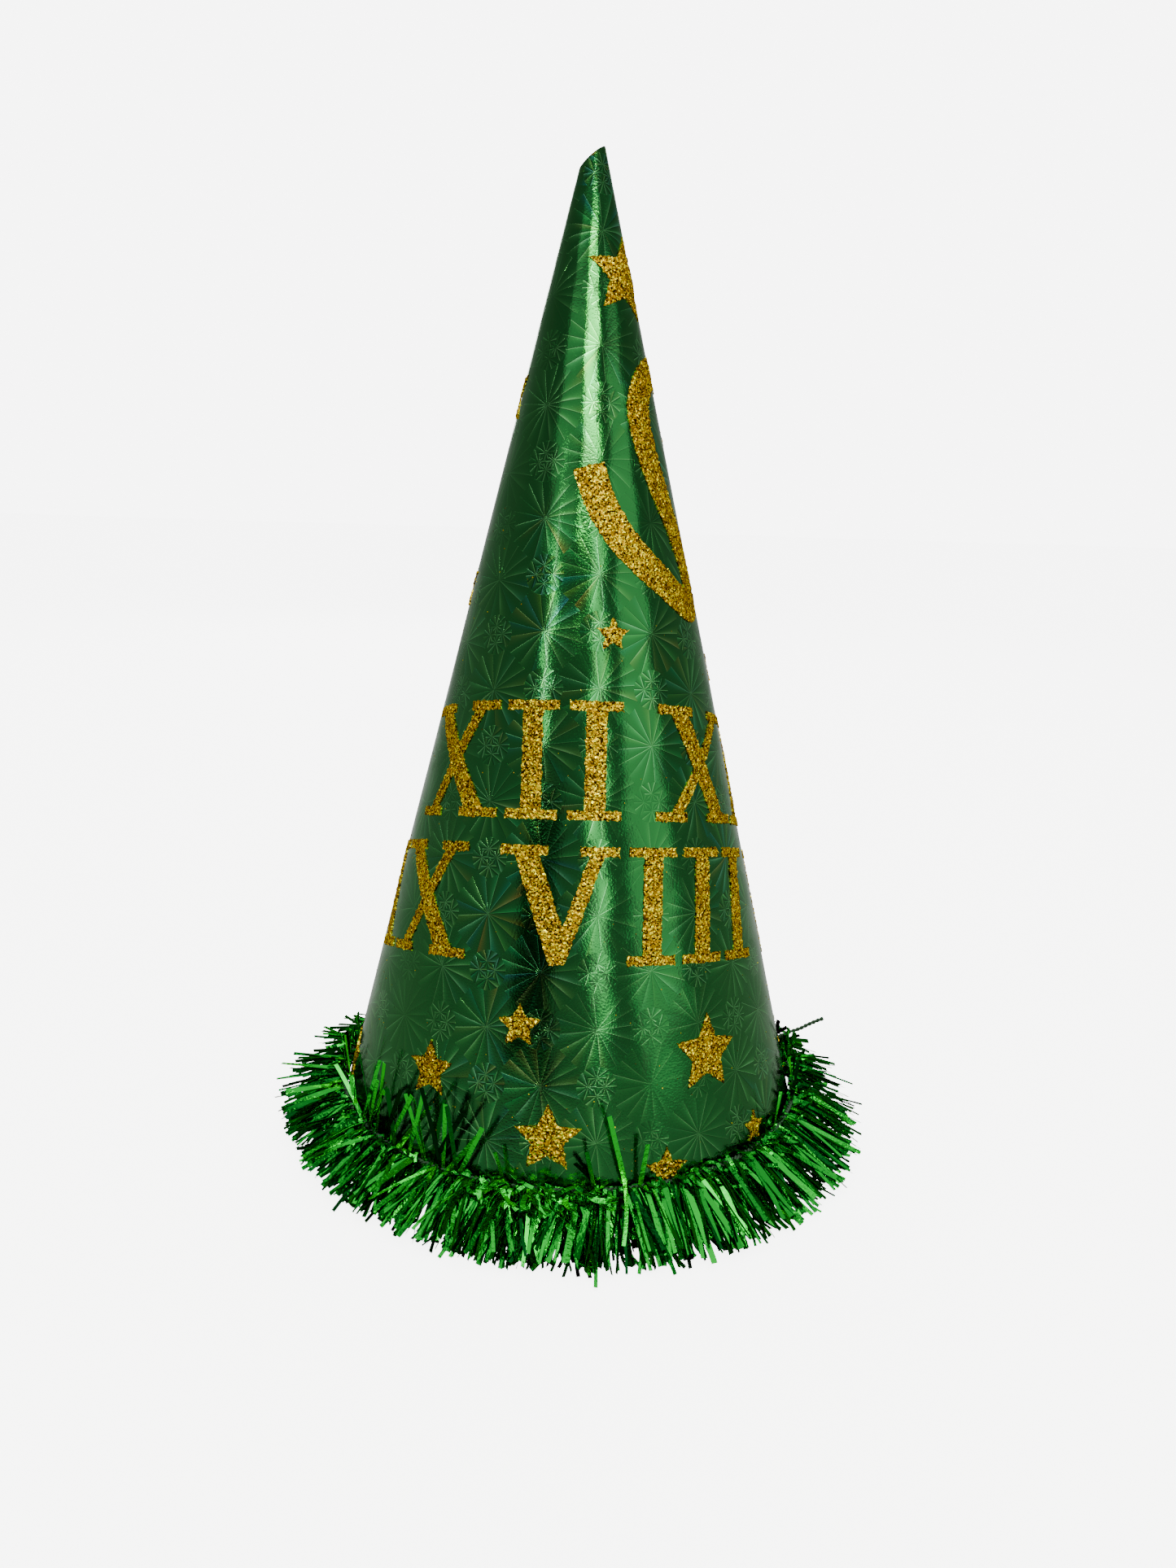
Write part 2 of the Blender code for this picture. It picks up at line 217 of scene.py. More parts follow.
def tip_slant(turn):
    """Where the slanted cut crosses the sheet, as a distance from the apex."""
    out = math.sin(HALF_ANGLE)
    down = Vector((out * math.sin(turn), -out * math.cos(turn), -math.cos(HALF_ANGLE)))
    apex = Vector((0, 0, APEX_HEIGHT))
    return TIP_CUT_NORMAL.dot(TIP_CUT_POINT - apex) / TIP_CUT_NORMAL.dot(down)


def eased(value):
    """0 to 1 with a soft start and end."""
    value = min(max(value, 0), 1)
    return value * value * (3 - 2 * value)


SHEET_COLUMNS = 288
SHEET_ROWS = 72
FULL_SLANT = RIM_RADIUS / math.sin(HALF_ANGLE)

bpy.ops.object.select_all(action="DESELECT")
bpy.ops.mesh.primitive_grid_add(x_subdivisions=SHEET_COLUMNS, y_subdivisions=SHEET_ROWS, size=2)
cone = bpy.context.object
cone.name = "foil_cone"
flat_places = []
for vertex in cone.data.vertices:
    across = (vertex.co.x + 1) / 2
    down = (1 - vertex.co.y) / 2
    turn = SEAM_TURN - OVERLAP + across * (math.tau + 2 * OVERLAP)
    top = tip_slant(turn)
    slant = top + down * (FULL_SLANT - top)
    tucked = 1 - eased((turn - SEAM_TURN - OVERLAP) / TUCK_TURN)
    lift = -(BOARD + 0.00012) * tucked
    flat = turn * math.sin(HALF_ANGLE)
    flat_places.append((slant * math.sin(flat), -slant * math.cos(flat)))
    vertex.co = roll_up(*flat_places[-1], lift, turn)
    if down == 1:
        vertex.co.z = max(vertex.co.z, 0.00002)
sheet_map = cone.data.uv_layers.active
sheet_map.name = "flat_sheet"
for loop in cone.data.loops:
    sheet_map.data[loop.index].uv = flat_places[loop.vertex_index]

wall = cone.modifiers.new("board", "SOLIDIFY")
wall.thickness = BOARD
wall.offset = -1
wall.material_offset = 1
wall.material_offset_rim = 1
bpy.ops.object.modifier_apply(modifier="board")
bpy.ops.object.shade_smooth_by_angle(angle=math.radians(40))

# Holographic film: embossed PET with a vapour-thin metal layer under green lacquer, so it mirrors the room
# in green. The embossing is a lattice of starbursts, each a fan of fine pleats that catch the light one
# after the other. Big bursts stand on a square lattice turned by 45 degrees, LATTICE apart, with a cluster
# of four small ones in each gap. Sizes within a burst are shares of the lattice's step.
LATTICE = 0.01767
LATTICE_TURN = math.radians(-1.18)
LATTICE_SHIFT = (0.30, 8.26)
BIG_RAYS = 16
SMALL_RAYS = 10
CLUSTER_REACH = 0.0775
CLUSTER_RADIUS = 0.2546
RAY_START = 40.25
RAY_SPREAD = 7.31
BAND_RATE = 19.6
BAND_START = 1.2
HIGHLIGHT_LINE_WIDTH = 0.014
GROOVE_SHADE_WIDTH = 0.03
BURST_FULL = 0.3
BURST_END = 0.62
PLEAT_DEPTH = 0.0005
PATCH_RATE = 22.0
PEEL_RATE = 1400.0
PEEL_DEPTH = 0.00009

foil, tree, shader = new_material("holographic_green_foil", Metallic=1.0, Roughness=0.13, Coat_Weight=0.1)
shader.inputs["Coat Roughness"].default_value = 0.06
shader.inputs["Specular Tint"].default_value = linear("#D4E2D4")
place = add_node(tree, "UVMap", {"uv_map": "flat_sheet"})
turned = Matrix.Rotation(-LATTICE_TURN - math.radians(45), 2)
shift = turned @ Vector(LATTICE_SHIFT) * -math.sqrt(0.5)
pitch = math.sqrt(0.5) / LATTICE
lattice = add_node(
    tree,
    "Mapping",
    Vector=place.outputs[0],
    Location=(*shift, 0),
    Rotation=(0, 0, -LATTICE_TURN - math.radians(45)),
    Scale=(pitch, -pitch, 1),
)
near = add_node(tree, "VectorMath", {"operation": "ADD"}, i0=lattice.outputs[0], i1=(0.5, 0.5, 0))
big_cell = add_node(tree, "VectorMath", {"operation": "FLOOR"}, i0=near.outputs[0])
big_part = add_node(tree, "VectorMath", {"operation": "FRACTION"}, i0=near.outputs[0])
big_way = add_node(tree, "VectorMath", {"operation": "SUBTRACT"}, i0=big_part.outputs[0], i1=(0.5, 0.5, 0))
gap_part = add_node(tree, "VectorMath", {"operation": "FRACTION"}, i0=lattice.outputs[0])
gap_way = add_node(tree, "VectorMath", {"operation": "SUBTRACT"}, i0=gap_part.outputs[0], i1=(0.5, 0.5, 0))
gap_side = add_node(tree, "VectorMath", {"operation": "SIGN"}, i0=gap_way.outputs[0])
gap_centre = add_node(tree, "VectorMath", {"operation": "SCALE"}, i0=gap_side.outputs[0], Scale=CLUSTER_REACH)
small_way = add_node(
    tree, "VectorMath", {"operation": "SUBTRACT"}, i0=gap_way.outputs[0], i1=gap_centre.outputs[0]
)
gap_cell = add_node(tree, "VectorMath", {"operation": "FLOOR"}, i0=lattice.outputs[0])
small_cell = add_node(
    tree, "VectorMath", {"operation": "ADD"}, i0=gap_cell.outputs[0], i1=gap_centre.outputs[0]
)
gap_radius = add_node(tree, "VectorMath", {"operation": "LENGTH"}, i0=gap_way.outputs[0])
in_cluster = add_node(
    tree, "Math", {"operation": "LESS_THAN"}, i0=gap_radius.outputs["Value"], i1=CLUSTER_RADIUS
)
way = add_node(
    tree,
    "Mix",
    {"data_type": "VECTOR"},
    i0=in_cluster.outputs[0],
    i4=big_way.outputs[0],
    i5=small_way.outputs[0],
)
cell = add_node(
    tree,
    "Mix",
    {"data_type": "VECTOR"},
    i0=in_cluster.outputs[0],
    i4=big_cell.outputs[0],
    i5=small_cell.outputs[0],
)
rays = add_node(
    tree, "MapRange", i0=in_cluster.outputs[0], i3=BIG_RAYS / math.tau, i4=SMALL_RAYS / math.tau
)
way_parts = add_node(tree, "SeparateXYZ", Vector=way.outputs[1])
angle = add_node(tree, "Math", {"operation": "ARCTAN2"}, i0=way_parts.outputs[1], i1=way_parts.outputs[0])
turns = add_node(
    tree, "Math", {"operation": "MULTIPLY_ADD"}, i0=angle.outputs[0], i1=rays.outputs[0], i2=RAY_START
)
ray = add_node(tree, "Math", {"operation": "FLOOR"}, i0=turns.outputs[0])
across = add_node(tree, "Math", {"operation": "FRACT"}, i0=turns.outputs[0])
radius = add_node(tree, "VectorMath", {"operation": "LENGTH"}, i0=way.outputs[1])

# Painted light and shade on the pleats, standing in for the way the embossed pleats catch the light: each
# pleat's own painted brightness, a painted highlight along some rays and a painted dark groove beside them.
# The colour that the grating throws is painted too, as a fixed iridescent sheen: mostly green, here and there
# teal, blue or copper. Both drift over patches about 45 mm wide, and swell and fade in bands down the sheet.
cell_parts = add_node(tree, "SeparateXYZ", Vector=cell.outputs[1])
ray_key = add_node(
    tree, "Math", {"operation": "MULTIPLY_ADD"}, i0=ray.outputs[0], i1=RAY_SPREAD, i2=cell_parts.outputs[1]
)
pleat_key = add_node(tree, "CombineXYZ", X=cell_parts.outputs[0], Y=ray_key.outputs[0])
pleat = add_node(tree, "TexWhiteNoise", {"noise_dimensions": "2D"}, Vector=pleat_key.outputs[0])
pleat_parts = add_node(tree, "SeparateXYZ", Vector=pleat.outputs["Color"])
# Painted pleat light: each pleat is painted brighter towards one edge, by its own random amount, fading out
# at the burst's edge.
fade = add_node(tree, "Math", {"operation": "POWER"}, i0=across.outputs[0], i1=3.0)
fall = add_node(tree, "MapRange", i0=radius.outputs["Value"], i1=BURST_END, i2=BURST_FULL)
pleat_painted_light = add_node(tree, "Math", {"operation": "MULTIPLY"}, i0=fade.outputs[0], i1=pleat_parts.outputs[0])
pleat_painted_light = add_node(tree, "Math", {"operation": "MULTIPLY"}, i0=pleat_painted_light.outputs[0], i1=fall.outputs[0])
# A painted highlight: a thin bright line along one edge of the rays, lit on some pleats and not on others.
width = add_node(tree, "Math", {"operation": "SUBTRACT"}, i0=1.0, i1=across.outputs[0])
edge = add_node(tree, "Math", {"operation": "MULTIPLY"}, i0=width.outputs[0], i1=radius.outputs["Value"])
line = add_node(tree, "Math", {"operation": "LESS_THAN"}, i0=edge.outputs[0], i1=HIGHLIGHT_LINE_WIDTH)
painted_ray_highlight = add_node(tree, "Math", {"operation": "MULTIPLY"}, i0=line.outputs[0], i1=pleat_parts.outputs[1])
# Painted shade: a thin dark line in the groove at the foot of each pleat.
foot = add_node(tree, "Math", {"operation": "MULTIPLY"}, i0=across.outputs[0], i1=radius.outputs["Value"])
groove_painted_shade = add_node(tree, "MapRange", i0=foot.outputs[0], i1=GROOVE_SHADE_WIDTH, i2=0.0, i3=0.0, i4=-0.3)
groove_painted_shade = add_node(tree, "Math", {"operation": "MULTIPLY"}, i0=groove_painted_shade.outputs[0], i1=fall.outputs[0])
shade = add_node(
    tree, "Math", {"operation": "MULTIPLY_ADD"}, i0=pleat_painted_light.outputs[0], i1=0.75, i2=groove_painted_shade.outputs[0]
)
shade = add_node(
    tree, "Math", {"operation": "MULTIPLY_ADD"}, i0=painted_ray_highlight.outputs[0], i1=0.8, i2=shade.outputs[0]
)
# The painted light and shade is stronger or weaker over patches, and in painted bands around the cone.
drift = add_node(tree, "TexNoise", Vector=place.outputs[0], Scale=PATCH_RATE, Detail=1.0)
sheet = add_node(tree, "SeparateXYZ", Vector=place.outputs[0])
down = add_node(tree, "Math", {"operation": "MULTIPLY"}, i0=sheet.outputs[1], i1=-1.0)
fan = add_node(tree, "Math", {"operation": "ARCTAN2"}, i0=sheet.outputs[0], i1=down.outputs[0])
fan = add_node(tree, "Math", {"operation": "MULTIPLY_ADD"}, i0=fan.outputs[0], i1=BAND_RATE, i2=BAND_START)
painted_light_band = add_node(tree, "Math", {"operation": "COSINE"}, i0=fan.outputs[0])
painted_light_vigour = add_node(tree, "MapRange", i0=drift.outputs[0], i1=0.36, i2=0.6, i3=0.7, i4=1.2)
painted_light_vigour = add_node(
    tree, "Math", {"operation": "MULTIPLY_ADD"}, i0=painted_light_band.outputs[0], i1=0.35, i2=painted_light_vigour.outputs[0]
)
shade = add_node(
    tree, "Math", {"operation": "MULTIPLY_ADD"}, i0=shade.outputs[0], i1=painted_light_vigour.outputs[0], i2=0.3
)
# The ramp runs from painted shade through the film's greens to a painted highlight.
ramp = add_node(tree, "ValToRGB", Fac=shade.outputs[0])
ramp.color_ramp.elements[0].color = linear("#0E3A1A")
ramp.color_ramp.elements[1].color = linear("#63AE6A")
ramp.color_ramp.elements.new(0.3).color = linear("#21602D")
ramp.color_ramp.elements.new(0.62).color = linear("#327A3D")
# A painted iridescent sheen: fixed colours in place of those the grating throws towards the light.
painted_iridescence = add_node(tree, "ValToRGB", Fac=pleat_parts.outputs[2])
painted_iridescence.color_ramp.elements[0].color = linear("#0A5A84")
painted_iridescence.color_ramp.elements[1].color = linear("#9A5A1C")
painted_iridescence.color_ramp.elements.new(0.25).color = linear("#0C9078")
painted_iridescence.color_ramp.elements.new(0.5).color = linear("#1CA850")
painted_iridescence.color_ramp.elements.new(0.8).color = linear("#5C8A20")
# How much painted sheen: over patches, at the bright edge of each pleat, in the painted bands, and less
# towards the rim.
painted_sheen_amount = add_node(tree, "MapRange", i0=drift.outputs[0], i1=0.42, i2=0.66, i3=0.0, i4=0.45)
painted_sheen_amount = add_node(tree, "Math", {"operation": "MULTIPLY"}, i0=painted_sheen_amount.outputs[0], i1=fade.outputs[0])
banded = add_node(tree, "MapRange", i0=painted_light_band.outputs[0], i1=-0.6, i2=1.0, i3=0.3, i4=1.7)
painted_sheen_amount = add_node(tree, "Math", {"operation": "MULTIPLY"}, i0=painted_sheen_amount.outputs[0], i1=banded.outputs[0])
apart = add_node(tree, "VectorMath", {"operation": "LENGTH"}, i0=place.outputs[0])
low_down = add_node(tree, "MapRange", i0=apart.outputs["Value"], i1=0.22, i2=0.33, i3=1.0, i4=0.3)
painted_sheen_amount = add_node(tree, "Math", {"operation": "MULTIPLY"}, i0=painted_sheen_amount.outputs[0], i1=low_down.outputs[0])
colour = add_node(
    tree, "Mix", {"data_type": "RGBA"}, i0=painted_sheen_amount.outputs[0], i6=ramp.outputs[0], i7=painted_iridescence.outputs[0]
)
tree.links.new(colour.outputs[2], shader.inputs["Base Color"])

# The pleats are a few degrees steep, and the film has an orange peel, 0.7 mm from bump to bump, that frays
# its highlights.
middle = add_node(tree, "Math", {"operation": "SUBTRACT"}, i0=across.outputs[0], i1=0.5)
slope = add_node(tree, "Math", {"operation": "MULTIPLY"}, i0=middle.outputs[0], i1=radius.outputs["Value"])
slope = add_node(tree, "Math", {"operation": "MULTIPLY"}, i0=slope.outputs[0], i1=fall.outputs[0])
slope = add_node(tree, "Math", {"operation": "MULTIPLY"}, i0=slope.outputs[0], i1=PLEAT_DEPTH)
peel = add_node(tree, "TexNoise", Vector=place.outputs[0], Scale=PEEL_RATE, Detail=2.0)
height = add_node(
    tree, "Math", {"operation": "MULTIPLY_ADD"}, i0=peel.outputs[0], i1=PEEL_DEPTH, i2=slope.outputs[0]
)
bump = add_node(tree, "Bump", Strength=0.5, Distance=1.0, Height=height.outputs[0])
tree.links.new(bump.outputs[0], shader.inputs["Normal"])

# Pulp board, pressed and left bare: a dull off-white with fibres about a millimetre long.
board, tree, shader = new_material("uncoated_board", Roughness=0.85)
place = add_node(tree, "TexCoord")
fibres = add_node(tree, "TexNoise", Vector=place.outputs["Object"], Scale=900.0, Detail=3.0)
ramp = add_node(tree, "ValToRGB", Fac=fibres.outputs[0])
ramp.color_ramp.elements[0].color = linear("#C9C8C0")
ramp.color_ramp.elements[1].color = linear("#E4E3DC")
tree.links.new(ramp.outputs[0], shader.inputs["Base Color"])
cone.data.materials.append(foil)
cone.data.materials.append(board)
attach(cone, "root")
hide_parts("cone", "seam_flap")

# ---------------------------------------------------------------- glitter print
# Coarse gold glitter set in a raised glue print: numerals as on a clock's dial, a streamer and stars.
# Each flake lies at its own tilt, and the print's edge is as ragged as the flakes are coarse.

FLAKE = 0.00062
PRINT_LIFT = 0.00026
PRINT_SINK = 0.00003
FLAKE_TILT = 0.00044
EDGE_RAG = 0.00016


def unrolled(point):
    """The point's x and y on the flat sheet, and how far it stands off it."""
    turn = math.atan2(point.x, -point.y)
    radius = math.hypot(point.x, point.y)
    drop = point.z - APEX_HEIGHT
    slant = radius * math.sin(HALF_ANGLE) - drop * math.cos(HALF_ANGLE)
    lift = radius * math.cos(HALF_ANGLE) + drop * math.sin(HALF_ANGLE)
    if turn < SEAM_TURN:
        turn += math.tau
    flat = turn * math.sin(HALF_ANGLE)
    return slant * math.sin(flat), -slant * math.cos(flat), lift


def flat_outline(mesh):
    """The outline of a CAD print's upper face, on the flat sheet, as one loop of points."""
    work = bmesh.new()
    work.from_mesh(mesh)
    bmesh.ops.remove_doubles(work, verts=work.verts, dist=0.00003)
    places = {vertex: unrolled(vertex.co) for vertex in work.verts}
    middle = (min(p[2] for p in places.values()) + max(p[2] for p in places.values())) / 2
    lower = [face for face in work.faces if min(places[vertex][2] for vertex in face.verts) < middle]
    bmesh.ops.delete(work, geom=lower, context="FACES")
    border = {}
    for edge in work.edges:
        if edge.is_boundary:
            loop = edge.link_loops[0]
            border[loop.vert] = loop.link_loop_next.vert
    start = min(border, key=lambda vertex: places[vertex][:2])
    walk = [start]
    while border[walk[-1]] != start:
        walk.append(border[walk[-1]])
    outline = [Vector(places[vertex][:2]) for vertex in walk]
    work.free()
    return outline


def inside(points, outline):
    """Which of the points lie within the outline."""
    hit = np.zeros(len(points), bool)
    for start, end in zip(outline, outline[1:] + outline[:1]):
        crosses = (start.y > points[:, 1]) != (end.y > points[:, 1])
        rise = end.y - start.y if end.y != start.y else 1e-12
        hit ^= crosses & (points[:, 0] < (end.x - start.x) * (points[:, 1] - start.y) / rise + start.x)
    return hit


def flake_print(name, outline, seed):
    """A closed slab of tilted flakes that fills the outline, rolled on to the cone."""
    rng = np.random.default_rng(seed)
    edge = []
    for start, end in zip(outline, outline[1:] + outline[:1]):
        steps = max(1, round((end - start).length / FLAKE))
        for step in range(steps):
            point = start.lerp(end, step / steps)
            edge.append(point + Vector(rng.normal(0, EDGE_RAG, 2)))
    low = np.min([tuple(p) for p in outline], axis=0)
    high = np.max([tuple(p) for p in outline], axis=0)
    columns, rows = np.ceil((high - low) / FLAKE).astype(int) + 1
    grid = np.stack(np.meshgrid(np.arange(columns), np.arange(rows)), -1).reshape(-1, 2) * FLAKE + low
    grid = grid + rng.uniform(-0.36, 0.36, grid.shape) * FLAKE
    grid = grid[inside(grid, outline)]
    border = np.array([tuple(p) for p in edge])
    away = np.sqrt(((grid[:, None] - border[None]) ** 2).sum(-1)).min(1)
    grid = grid[away > 0.6 * FLAKE]
    points = edge + [Vector(p) for p in grid]
    links = [(index, (index + 1) % len(edge)) for index in range(len(edge))]
    points, _, faces, _, _, _ = geometry.delaunay_2d_cdt(points, links, [list(range(len(edge)))], 1, 1e-7)
    used = sorted({index for face in faces for index in face})
    number = {old: new for new, old in enumerate(used)}
    tops = [roll_up(*points[i], PRINT_LIFT + rng.uniform(-FLAKE_TILT, FLAKE_TILT) / 2) for i in used]
    feet = [roll_up(*points[i], -PRINT_SINK) for i in used]
    sides = []
    upper = []
    for face in faces:
        corners = [number[index] for index in face]
        a, b, c = (points[index] for index in face)
        if (b - a).cross(c - a) < 0:
            corners.reverse()
        upper.append(corners)
        sides += zip(corners, corners[1:] + corners[:1])
    paired = set(sides)
    count = len(used)
    lower = [[index + count for index in reversed(face)] for face in upper]
    walls = [[end, start, start + count, end + count] for start, end in sides if (end, start) not in paired]
    mesh = bpy.data.meshes.new(name)
    mesh.from_pydata(tops + feet, [], upper + lower + walls)
    piece = bpy.data.objects.new(name, mesh)
    bpy.context.scene.collection.objects.link(piece)
    return piece


# Glitter is aluminised PET film, lacquered gold and cut into small hexagons. Each flake is a tiny mirror, and
# its glint or shade is painted into its colour: a mosaic of near-black, brown, gold and glinting yellow, a
# painted reflection laid over the flakes' real tilts. COLOUR_CELL is one flake's width.
COLOUR_CELL = 0.00044
gold, tree, shader = new_material("gold_glitter_flakes", Metallic=1.0, Roughness=0.3)
shader.inputs["Specular Tint"].default_value = linear("#FFE080")
place = add_node(tree, "TexCoord")
flakes = add_node(tree, "TexVoronoi", Vector=place.outputs["Object"], Scale=1 / COLOUR_CELL)
pick = add_node(tree, "SeparateXYZ", Vector=flakes.outputs["Color"])
# Painted glints and shade, flake by flake: from near-black through brown and gold to a painted yellow glint.
ramp = add_node(tree, "ValToRGB", Fac=pick.outputs[0])
ramp.color_ramp.interpolation = "CONSTANT"
ramp.color_ramp.elements[0].color = linear("#2A1800")
ramp.color_ramp.elements[1].color = linear("#FFEC20")
ramp.color_ramp.elements[1].position = 0.84
for position, colour in ((0.24, "#825C00"), (0.46, "#AE8400"), (0.68, "#D4AC00")):
    ramp.color_ramp.elements.new(position).color = linear(colour)
tree.links.new(ramp.outputs[0], shader.inputs["Base Color"])
rough = add_node(tree, "MapRange", i0=pick.outputs[1], i3=0.24, i4=0.56)
tree.links.new(rough.outputs[0], shader.inputs["Roughness"])

printed = [name for name in sorted(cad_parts) if name.startswith(("numeral", "star", "streamer"))]
for seed, node in enumerate(printed):
    outline = flat_outline(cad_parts[node].data)
    piece = flake_print("glitter_" + node, outline, seed)
    piece.data.materials.append(gold)
    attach(piece, "root")
    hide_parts(node)

# Loose flakes that stuck outside the prints, thickest near the rim.
SPECKS = 420
rng = np.random.default_rng(77)
verts = []
faces = []
for index in range(SPECKS):
    turn = rng.uniform(SEAM_TURN + math.radians(8), SEAM_TURN + math.tau)
    slant = FULL_SLANT * (0.25 + 0.70 * rng.random() ** 0.6)
    flat = turn * math.sin(HALF_ANGLE)
    middle = Vector((slant * math.sin(flat), -slant * math.cos(flat)))
    size = 0.5 * FLAKE * rng.uniform(0.35, 0.8)
    start = len(verts)
    for lift in (0.00008, -0.00002):
        for corner in range(4):
            around = math.pi / 2 * corner + 0.4 * index
            tilt = 0.00006 * math.cos(around + index) if lift > 0 else 0
            corner_x = middle.x + size * math.cos(around)
            corner_y = middle.y + size * math.sin(around)
            verts.append(roll_up(corner_x, corner_y, lift + tilt))
    faces.append([start, start + 1, start + 2, start + 3])
    faces.append([start + 7, start + 6, start + 5, start + 4])
    for corner in range(4):
        after = (corner + 1) % 4
        faces.append([start + after, start + corner, start + 4 + corner, start + 4 + after])
mesh = bpy.data.meshes.new("glitter_specks")
mesh.from_pydata(verts, [], faces)
mesh.materials.append(gold)
specks = bpy.data.objects.new("glitter_specks", mesh)
bpy.context.scene.collection.objects.link(specks)
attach(specks, "root")

# ---------------------------------------------------------------- tinsel thread
# Two thin threads twisted together grip the foil strips. The pair goes once round the cone, just above
# the rim, held by dabs of glue, and a short tail of it stands away at the right.

RING_HEIGHT = 0.014
RING_RADIUS = RIM_RADIUS * (APEX_HEIGHT - RING_HEIGHT) / APEX_HEIGHT + 0.0024
THREAD_RADIUS = 0.00042
THREAD_TWIST = 0.0034
TAIL = [
    (0.0985, 0.0200, 0.0255),
    (0.0940, 0.0196, 0.0236),
    (0.0890, 0.0193, 0.0210),
    (0.0845, 0.0193, 0.0193),
    (0.0815, 0.0200, 0.0168),
]
TAIL_TURN = math.radians(106)
RING_TURN = math.radians(348)


def on_ring(turn):
    """A point on the garland's middle line."""
    return Vector((RING_RADIUS * math.sin(turn), -RING_RADIUS * math.cos(turn), RING_HEIGHT))


def even_line(points, step):
    """Points at an even step along a smooth line through the given ones."""
    points = [Vector(p) for p in points]
    padded = [2 * points[0] - points[1]] + points + [2 * points[-1] - points[-2]]
    line = []
    for before, start, end, after in zip(padded, padded[1:], padded[2:], padded[3:]):
        count = max(1, math.ceil((end - start).length / step))
        for index in range(count):
            t = index / count
            pull = (end - before) * t + (2 * before - 5 * start + 4 * end - after) * t**2
            line.append(start + 0.5 * (pull + (3 * start - before - 3 * end + after) * t**3))
    line.append(points[-1])
    return line


route = TAIL + [on_ring(TAIL_TURN + RING_TURN * i / 90) for i in range(91)]
middle = even_line(route, THREAD_TWIST / 9)
# Spun polyester, dyed dark green: matt, with a fuzz of 0.4 mm that breaks up its colour.
thread, tree, shader = new_material("spun_green_thread", Roughness=0.75)
place = add_node(tree, "TexCoord")
fuzz = add_node(tree, "TexNoise", Vector=place.outputs["Object"], Scale=2500.0, Detail=2.0)
ramp = add_node(tree, "ValToRGB", Fac=fuzz.outputs[0])
ramp.color_ramp.elements[0].color = linear("#0A1C10")
ramp.color_ramp.elements[1].color = linear("#1E4A28")
tree.links.new(ramp.outputs[0], shader.inputs["Base Color"])
for ply in range(2):
    curve = bpy.data.curves.new("thread", "CURVE")
    curve.dimensions = "3D"
    curve.bevel_depth = THREAD_RADIUS
    curve.bevel_resolution = 1
    curve.use_fill_caps = True
    spline = curve.splines.new("POLY")
    spline.points.add(len(middle) - 1)
    walked = 0
    for index, point in enumerate(middle):
        ahead = (middle[min(index + 1, len(middle) - 1)] - middle[max(index - 1, 0)]).normalized()
        side = ahead.cross(Vector((0, 0, 1))).normalized()
        over = side.cross(ahead)
        walked += (point - middle[index - 1]).length if index else 0
        angle = math.tau * walked / THREAD_TWIST + ply * math.pi
        offset = (side * math.cos(angle) + over * math.sin(angle)) * THREAD_RADIUS * 0.95
        spline.points[index].co = (*(point + offset), 1)
    strand = bpy.data.objects.new("thread", curve)
    bpy.context.scene.collection.objects.link(strand)
    bpy.context.view_layer.update()
    mesh = bpy.data.meshes.new_from_object(strand.evaluated_get(bpy.context.evaluated_depsgraph_get()))
    bpy.data.objects.remove(strand)
    weld = bmesh.new()
    weld.from_mesh(mesh)
    bmesh.ops.remove_doubles(weld, verts=weld.verts, dist=0.000005)
    weld.to_mesh(mesh)
    weld.free()
    piece = bpy.data.objects.new(f"thread_ply_{ply + 1}", mesh)
    bpy.context.scene.collection.objects.link(piece)
    mesh.materials.clear()
    mesh.materials.append(thread)
    mesh.shade_smooth()
    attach(piece, "root")
    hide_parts("tinsel_core")

# ---------------------------------------------------------------- tinsel strips
# Metallised green PET film, cut into strips and caught between the threads, so they stand out all round
# like a bottle brush. Most droop to the table, and some lie up against the cone, bent and crumpled.

STRIP_LENGTH = 0.029
STRIP_WIDTH = 0.00118
FILM = 0.00005
STRIP_PARTS = 7
BEND_LENGTH = 0.0030
CLEARANCE = 0.0009

# PET film with vapour-deposited aluminium and green lacquer, slit into strips: saturated green glints, deep
# green to black between them, and a crinkle of about a millimetre. Each strip has its own tone with painted
# light in it: the ramp's top is a painted glint, and strips are painted brighter towards the front.
tinsel, tree, shader = new_material("metallised_green_film", Metallic=1.0, Roughness=0.16)
shader.inputs["Specular Tint"].default_value = linear("#70D080")
tone_and_light = add_node(tree, "Attribute", {"attribute_name": "tone_and_light"})
ramp = add_node(tree, "ValToRGB", Fac=tone_and_light.outputs["Fac"])
# The ramp runs from near-black through deep and mid green to a painted saturated-green glint.
ramp.color_ramp.elements[0].color = linear("#04280C")
ramp.color_ramp.elements[1].color = linear("#14D43C")
ramp.color_ramp.elements.new(0.25).color = linear("#085418")
ramp.color_ramp.elements.new(0.8).color = linear("#0A9028")
tree.links.new(ramp.outputs[0], shader.inputs["Base Color"])
place = add_node(tree, "TexCoord")
crinkle = add_node(tree, "TexNoise", Vector=place.outputs["Object"], Scale=900.0, Detail=2.0)
bump = add_node(tree, "Bump", Strength=0.5, Distance=0.0004, Height=crinkle.outputs[0])
tree.links.new(bump.outputs[0], shader.inputs["Normal"])


